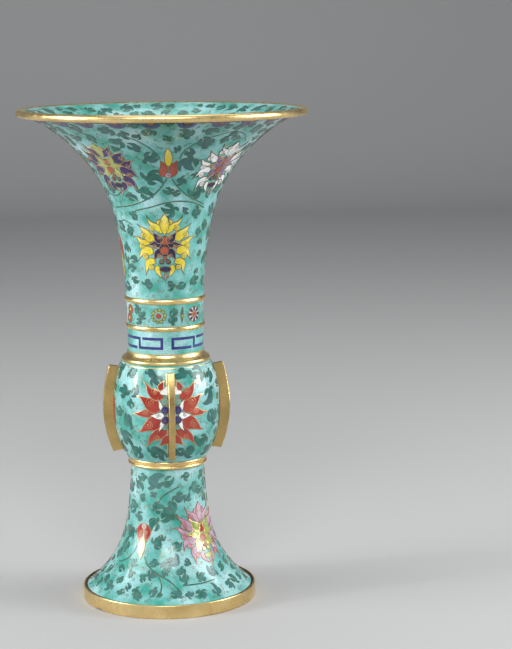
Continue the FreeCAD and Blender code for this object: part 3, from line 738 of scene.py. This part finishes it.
NECK_VINES = (
    ((-62, 73), (-30, 77), (-10, 84), (0, 92), (6, 101)),
    ((-30, 72), (-12, 75), (6, 79), (20, 80), (36, 78), (52, 73)),
    ((50, 76), (28, 84), (16, 93), (10, 101)),
    ((1, 121), (-2, 129), (-8, 139), (-15, 148), (-24, 153)),
    ((14, 121), (16, 130), (22, 139), (30, 147), (40, 153), (50, 148), (58, 138)),
    ((-62, 60), (-50, 63), (-38, 60)),
    ((-40, 88), (-52, 84), (-66, 86)),
)
NECK_LEAVES = (
    # azimuth, along, heading of the tip, size
    (-62, 8, 10, 0.8), (-22, 12, 200, 0.8), (12, 11, 20, 0.7), (26, 10, 350, 0.7),
    (50, 14, 180, 0.8), (-48, 24, 160, 0.8), (53, 21, 200, 0.5), (-54, 40, 250, 0.8),
    (54, 45, 100, 0.6), (57, 35, 0, 0.5), (-57, 57, 100, 0.8), (60, 58, 60, 0.8),
    (-33, 68, 180, 0.8), (10, 73, 25, 1.1), (27, 72, 290, 0.6), (42, 69, 250, 1.0),
    (-32, 84, 190, 0.8), (-55, 90, 160, 1.0), (-15, 88, 180, 1.2), (8, 90, 30, 0.6),
    (15, 87, 330, 0.7), (37, 88, 20, 1.2), (52, 84, 270, 0.6), (65, 90, 20, 1.1),
    (-6, 101, 190, 1.4), (18, 99, 100, 0.7), (22, 117, 260, 1.3), (20, 128, 70, 0.9),
    (-6, 123, 20, 1.1), (-14, 135, 90, 1.1), (27, 140, 80, 1.3), (-23, 142, 60, 1.0),
    (-38, 145, 80, 1.0), (38, 142, 120, 0.8), (-50, 145, 40, 1.1), (41, 150, 30, 0.8),
    (-62, 140, 200, 1.2), (-25, 158, 80, 1.2), (-41, 159, 70, 1.1), (-16, 152, 250, 0.9),
    (-4, 155, 100, 1.1), (14, 152, 90, 1.2), (26, 155, 200, 1.0), (5, 146, 90, 0.7),
    (40, 160, 0, 0.8), (55, 155, 330, 1.1), (-57, 154, 160, 1.1), (65, 150, 30, 1.1),
    (70, 128, 90, 1.1), (-68, 120, 200, 1.2), (30, 104, 330, 0.6),
)
LAPPETS = 24
LAPPET_START = -2.0
# The cells of a lappet, lowest first: width, length and material
LAPPET_CELLS = ((16, 16.5, "blue"), (10.5, 13, "navy"), (5, 9.5, "coral"))
# The line between the lappets: distance below the skin's upper edge, and half its width
LAPPET_LINE = (7.2, 0.8)


def decorate_neck():
    neck = Work("neck_enamel")
    for half in HALVES:
        grow(neck, half, NECK_FLOWERS, NECK_LEAVES)
    for points in NECK_VINES:
        vine(neck, points)
    for k in range(LAPPETS):
        place = neck.spot(LAPPET_START + k * 360 / LAPPETS, neck.skin.height)
        for over, (width, length, material) in enumerate(LAPPET_CELLS):
            neck.edged(place, tongue(width, length), material, PETAL + over)
    below, half_width = LAPPET_LINE
    ring(neck, neck.skin.height - below, half_width, "navy")
    neck.fill(leaf, tries=900, reach=6.2, margin=8)
    neck.fill(small_leaf, tries=1200, reach=4.4, margin=7)
    neck.fill(tendril, tries=2500, reach=3.0, margin=2.5)
    neck.build()


# Knop

KNOP_FLOWERS = (
    (knop_lotus, 7.5, 43, 0, 1.0, {}),
    (bud, 95, 56, 180, 1.4, RED_BUD),
)
KNOP_LEAVES = (
    (-16, 76, 200, 0.8), (-9, 71, 280, 0.9), (22, 75, 30, 1.0), (45, 73, 10, 1.2),
    (-52, 59, 150, 1.2), (-57, 42, 20, 1.1), (-43, 36, 330, 1.1), (-52, 20, 160, 1.3),
    (-37, 9, 200, 1.1), (-13, 10, 180, 1.0), (-3, 8, 250, 0.8), (16, 10, 300, 0.9),
    (30, 9, 340, 1.1), (47, 19, 10, 1.3), (55, 55, 70, 1.3), (-68, 74, 200, 1.2),
    (60, 37, 90, 1.2), (-33, 61, 90, 0.8), (-68, 10, 100, 1.0), (62, 8, 60, 1.0),
    (-42, 75, 0, 0.9), (64, 70, 100, 1.0),
)
# Gilt lines along the foot of each flange: distance from its middle, lower and upper ends, and
# half their width
FLANGE_LINE = (3.1, 4.5, 75.5, 0.35)
# The gilt line under the collar: distance below the skin's upper edge, and half its width
KNOP_LINE = (1.4, 0.3)


def flange_lines(work):
    across, low, high, half = FLANGE_LINE
    for azimuth in range(0, 360, 90):
        for side in (-across, across):
            line = spline(((side, low), (side, high)), 2.0)
            spot = work.spot(azimuth + VASE_TURN, 0)
            work.wire(spot, line, VINE, half=half, material="gilt")


def decorate_knop():
    knop = Work("knop_enamel")
    flange_lines(knop)
    for half in HALVES:
        grow(knop, half, KNOP_FLOWERS, KNOP_LEAVES)
    below, half_width = KNOP_LINE
    ring(knop, knop.skin.height - below, half_width)
    knop.fill(small_leaf, tries=500, reach=4.8, margin=6)
    knop.fill(tendril, tries=1200, reach=2.8, margin=2.5)
    knop.build()


# Foot

ROSE_LOTUS = {"petal": "rose", "heart": "lime", "eye": "red", "crown": "rose", "cup": "lime",
              "heart_share": 1.15, "wire": "coral"}
CREAM_BUD = {"cap": "red", "tip": "cream", "flare": 3.8}
FOOT_FLOWERS = (
    (lotus, 51.5, 57, 0, 0.97, ROSE_LOTUS),
    (bud, -32.5, 67.5, 180, 0.8, CREAM_BUD),
)
FOOT_VINES = (
    ((-39, 49), (-43, 42), (-49, 36), (-60, 32)),
    ((-26, 41), (-20, 34), (-8, 27), (3, 21), (12, 11)),
    ((-8, 27), (-4, 18), (-5, 8)),
    ((-14, 82), (-8, 89), (5, 94), (20, 98)),
    ((56, 86), (66, 90), (76, 93)),
    ((14, 17), (30, 17), (45, 18)),
)
FOOT_LEAVES = (
    (-17, 101, 260, 1.4), (2, 102, 0, 1.1), (20, 89, 340, 1.2), (31, 88, 20, 0.7),
    (46, 96, 350, 1.0), (55, 93, 330, 0.9), (-58, 79, 180, 1.4), (-43, 72, 200, 0.8),
    (-14, 80, 220, 1.0), (8, 82, 150, 0.9), (0, 76, 180, 1.4), (8, 75, 0, 1.1),
    (-16, 68, 210, 1.1), (-62, 60, 100, 1.0), (-54, 58, 340, 1.0), (-12, 52, 180, 1.1),
    (-7, 57, 50, 0.7), (-59, 46, 300, 1.1), (-68, 38, 150, 1.1), (7, 38, 30, 1.0),
    (0, 34, 230, 1.0), (-2, 28, 0, 0.6), (14, 29, 100, 0.8), (17, 23, 290, 1.0),
    (-22, 23, 170, 0.9), (-15, 26, 60, 0.8), (-36, 25, 150, 0.7), (33, 22, 250, 0.9),
    (48, 25, 340, 1.0), (-62, 15, 100, 0.9), (-53, 11, 20, 1.1), (-37, 8, 340, 1.0),
    (-33, 13, 80, 0.6), (-25, 11, 100, 0.9), (-21, 7, 250, 0.8), (-10, 12, 100, 0.9),
    (-5, 9, 0, 0.6), (8, 9, 120, 1.0), (27, 8, 60, 1.0), (41, 8, 70, 1.0), (57, 10, 80, 1.1),
    (67, 12, 90, 1.1), (62, 27, 80, 0.8), (-68, 95, 190, 1.2), (66, 105, 10, 1.0),
    (-43, 60, 80, 0.7), (-48, 98, 170, 0.9), (-70, 22, 20, 0.9),
)
FOOT_LEAF_SHARE = 0.82


def decorate_foot():
    foot = Work("foot_enamel", leaf="pale_leaf")
    for half in HALVES:
        grow(foot, half, FOOT_FLOWERS, FOOT_LEAVES, FOOT_LEAF_SHARE)
    for points in FOOT_VINES:
        vine(foot, points)
    foot.fill(small_leaf, tries=1600, reach=4.3, margin=6)
    foot.fill(tendril, tries=2000, reach=2.8, margin=2.5)
    foot.build()


# Rosette band: azimuths of its flowers, about a sixth of the way round from each other

GREEN_ROSETTE = -7
STAR_ROSETTE = 50
CORAL_ROSETTES = -61
CORAL_SHIFTS = (-3.4, 3.6)
SPRIG = 28
SPRIG_LINE = ((0, -6), (0, 0), (0.6, 7))
BAND_LEAVES = (
    (-40, 4, 60, 0.62), (-34, 9, 100, 0.62), (-43, 13, 160, 0.62), (13, 5, 80, 0.62),
    (15, 12, 100, 0.62),
)


def band_flowers(band, half):
    middle = band.skin.height / 2
    green = band.spot(GREEN_ROSETTE + half, middle)
    rosette(band, green, 6.4, 10, "lime", "lime", start=8)
    band.edged(green, disc(0, 0, 3.9), "mint", PETAL + 2)
    band.edged(green, disc(0, 0, 2.1), "red", PETAL + 3)
    star = band.spot(STAR_ROSETTE + half, middle)
    band.edged(star, disc(0, 0, 5.6), "white", PETAL - 1)
    rosette(band, star, 6.8, 8, "purple", "coral", start=90, plump=1.45)
    for shift in CORAL_SHIFTS:
        flower = band.spot(CORAL_ROSETTES + half + shift / 2, middle + shift, 12, 0.9)
        rosette(band, flower, 4.8, 9, "coral", "yellow")
    sprig = band.spot(SPRIG + half, middle)
    band.edged(sprig, blade(SPRIG_LINE, 1.2, peak=0.5), "leaf", PETAL)
    band.edged(sprig, disc(0.3, -0.5, 1.2), "lime", PETAL + 1)


def decorate_band():
    band = Work("rosette_band_enamel")
    for half in HALVES:
        grow(band, half, (), BAND_LEAVES)
        band_flowers(band, half)
    band.fill(tendril, tries=500, reach=2.6, margin=2.0)
    band.build()


def decorate_mouth():
    mouth = Work("mouth_enamel", inside=True)
    mouth.fill(leaf, tries=1100, reach=6.6, margin=6)
    mouth.fill(small_leaf, tries=2200, reach=4.4, margin=4)
    mouth.fill(tendril, tries=1800, reach=3.0, margin=3)
    mouth.build()


decorate_neck()
decorate_knop()
decorate_foot()
decorate_band()
decorate_mouth()


# Stage, in metres: a pale sweep of floor and wall, and soft lamps at both sides, in front and above

LAMP_AIM = (0.0, 0.0, 0.2)
LAMPS = (
    # name, place, width, height, power in watts
    ("wide_softbox", (-1.924, -0.26, 0.95), 1.3, 1.4, 34.0),
    ("small_softbox", (-1.48, -0.26, 0.5), 0.11, 0.11, 8.0),
    ("wide_softbox", (1.885, -0.39, 0.95), 1.3, 1.4, 34.0),
    ("small_softbox", (1.45, -0.39, 0.5), 0.11, 0.11, 4.5),
    ("front_softbox", (-0.3, -2.4, 1.8), 1.8, 1.2, 50.0),
    ("top_softbox", (0.2, 0.4, 2.2), 1.6, 1.6, 12.0),
)
SKY_COLOUR = (0.9, 0.95, 1.0, 1)
SKY_STRENGTH = 0.33
FLOOR_COLOUR = (0.39, 0.388, 0.385, 1)
FLOOR_ROUGHNESS = 0.9


def softbox(name, place, width, height, power):
    lamp = bpy.data.lights.new(name, "AREA")
    lamp.shape = "RECTANGLE"
    lamp.size, lamp.size_y = width, height
    lamp.energy = power
    holder = bpy.data.objects.new(name, lamp)
    holder.location = place
    aim = Vector(LAMP_AIM) - Vector(place)
    holder.rotation_euler = aim.to_track_quat("-Z", "Y").to_euler()
    bpy.context.scene.collection.objects.link(holder)


def make_floor():
    """A floor that curves up into a wall far behind the vase."""
    wide, front, back, bend, high = 12.0, -12.0, 3.0, 0.8, 4.0
    turns = [math.radians(turn) for turn in range(0, 91, 6)]
    curve = [(back + bend * math.sin(turn), bend - bend * math.cos(turn)) for turn in turns]
    line = [(front, 0.0), *curve, (back + bend, high)]
    points = [(side * wide, y, z) for y, z in line for side in (-1, 1)]
    faces = [(2 * k, 2 * k + 1, 2 * k + 3, 2 * k + 2) for k in range(len(line) - 1)]
    mesh = bpy.data.meshes.new("floor")
    mesh.from_pydata(points, [], faces)
    mesh.shade_smooth()
    floor = bpy.data.objects.new("floor", mesh)
    bpy.context.scene.collection.objects.link(floor)
    made, _, shader, _ = new_material("floor_look")
    shader.inputs["Base Color"].default_value = FLOOR_COLOUR
    shader.inputs["Roughness"].default_value = FLOOR_ROUGHNESS
    mesh.materials.append(made)


def make_camera():
    turned = Matrix.Rotation(math.radians(-VASE_TURN), 4, "Z")
    aim = Matrix.Rotation(math.radians(90 - CAMERA_PITCH), 4, "X")
    roll = Matrix.Rotation(math.radians(-CAMERA_ROLL), 4, "Z")
    data = bpy.data.cameras.new("camera")
    data.sensor_width = SENSOR
    data.lens = FOCAL_PIXELS * SENSOR / IMAGE_LONG_SIDE
    camera = bpy.data.objects.new("camera", data)
    camera.matrix_world = turned @ Matrix.Translation(Vector(CAMERA_PLACE) * MM) @ aim @ roll
    bpy.context.scene.collection.objects.link(camera)
    bpy.context.scene.camera = camera


def make_sky():
    world = bpy.data.worlds.new("world")
    bpy.context.scene.world = world
    world.use_nodes = True
    background = world.node_tree.nodes["Background"]
    background.inputs["Color"].default_value = SKY_COLOUR
    background.inputs["Strength"].default_value = SKY_STRENGTH


make_floor()
make_camera()
for name, place, width, height, power in LAMPS:
    softbox(name, place, width, height, power)
make_sky()
bpy.context.scene.view_settings.view_transform = "Standard"
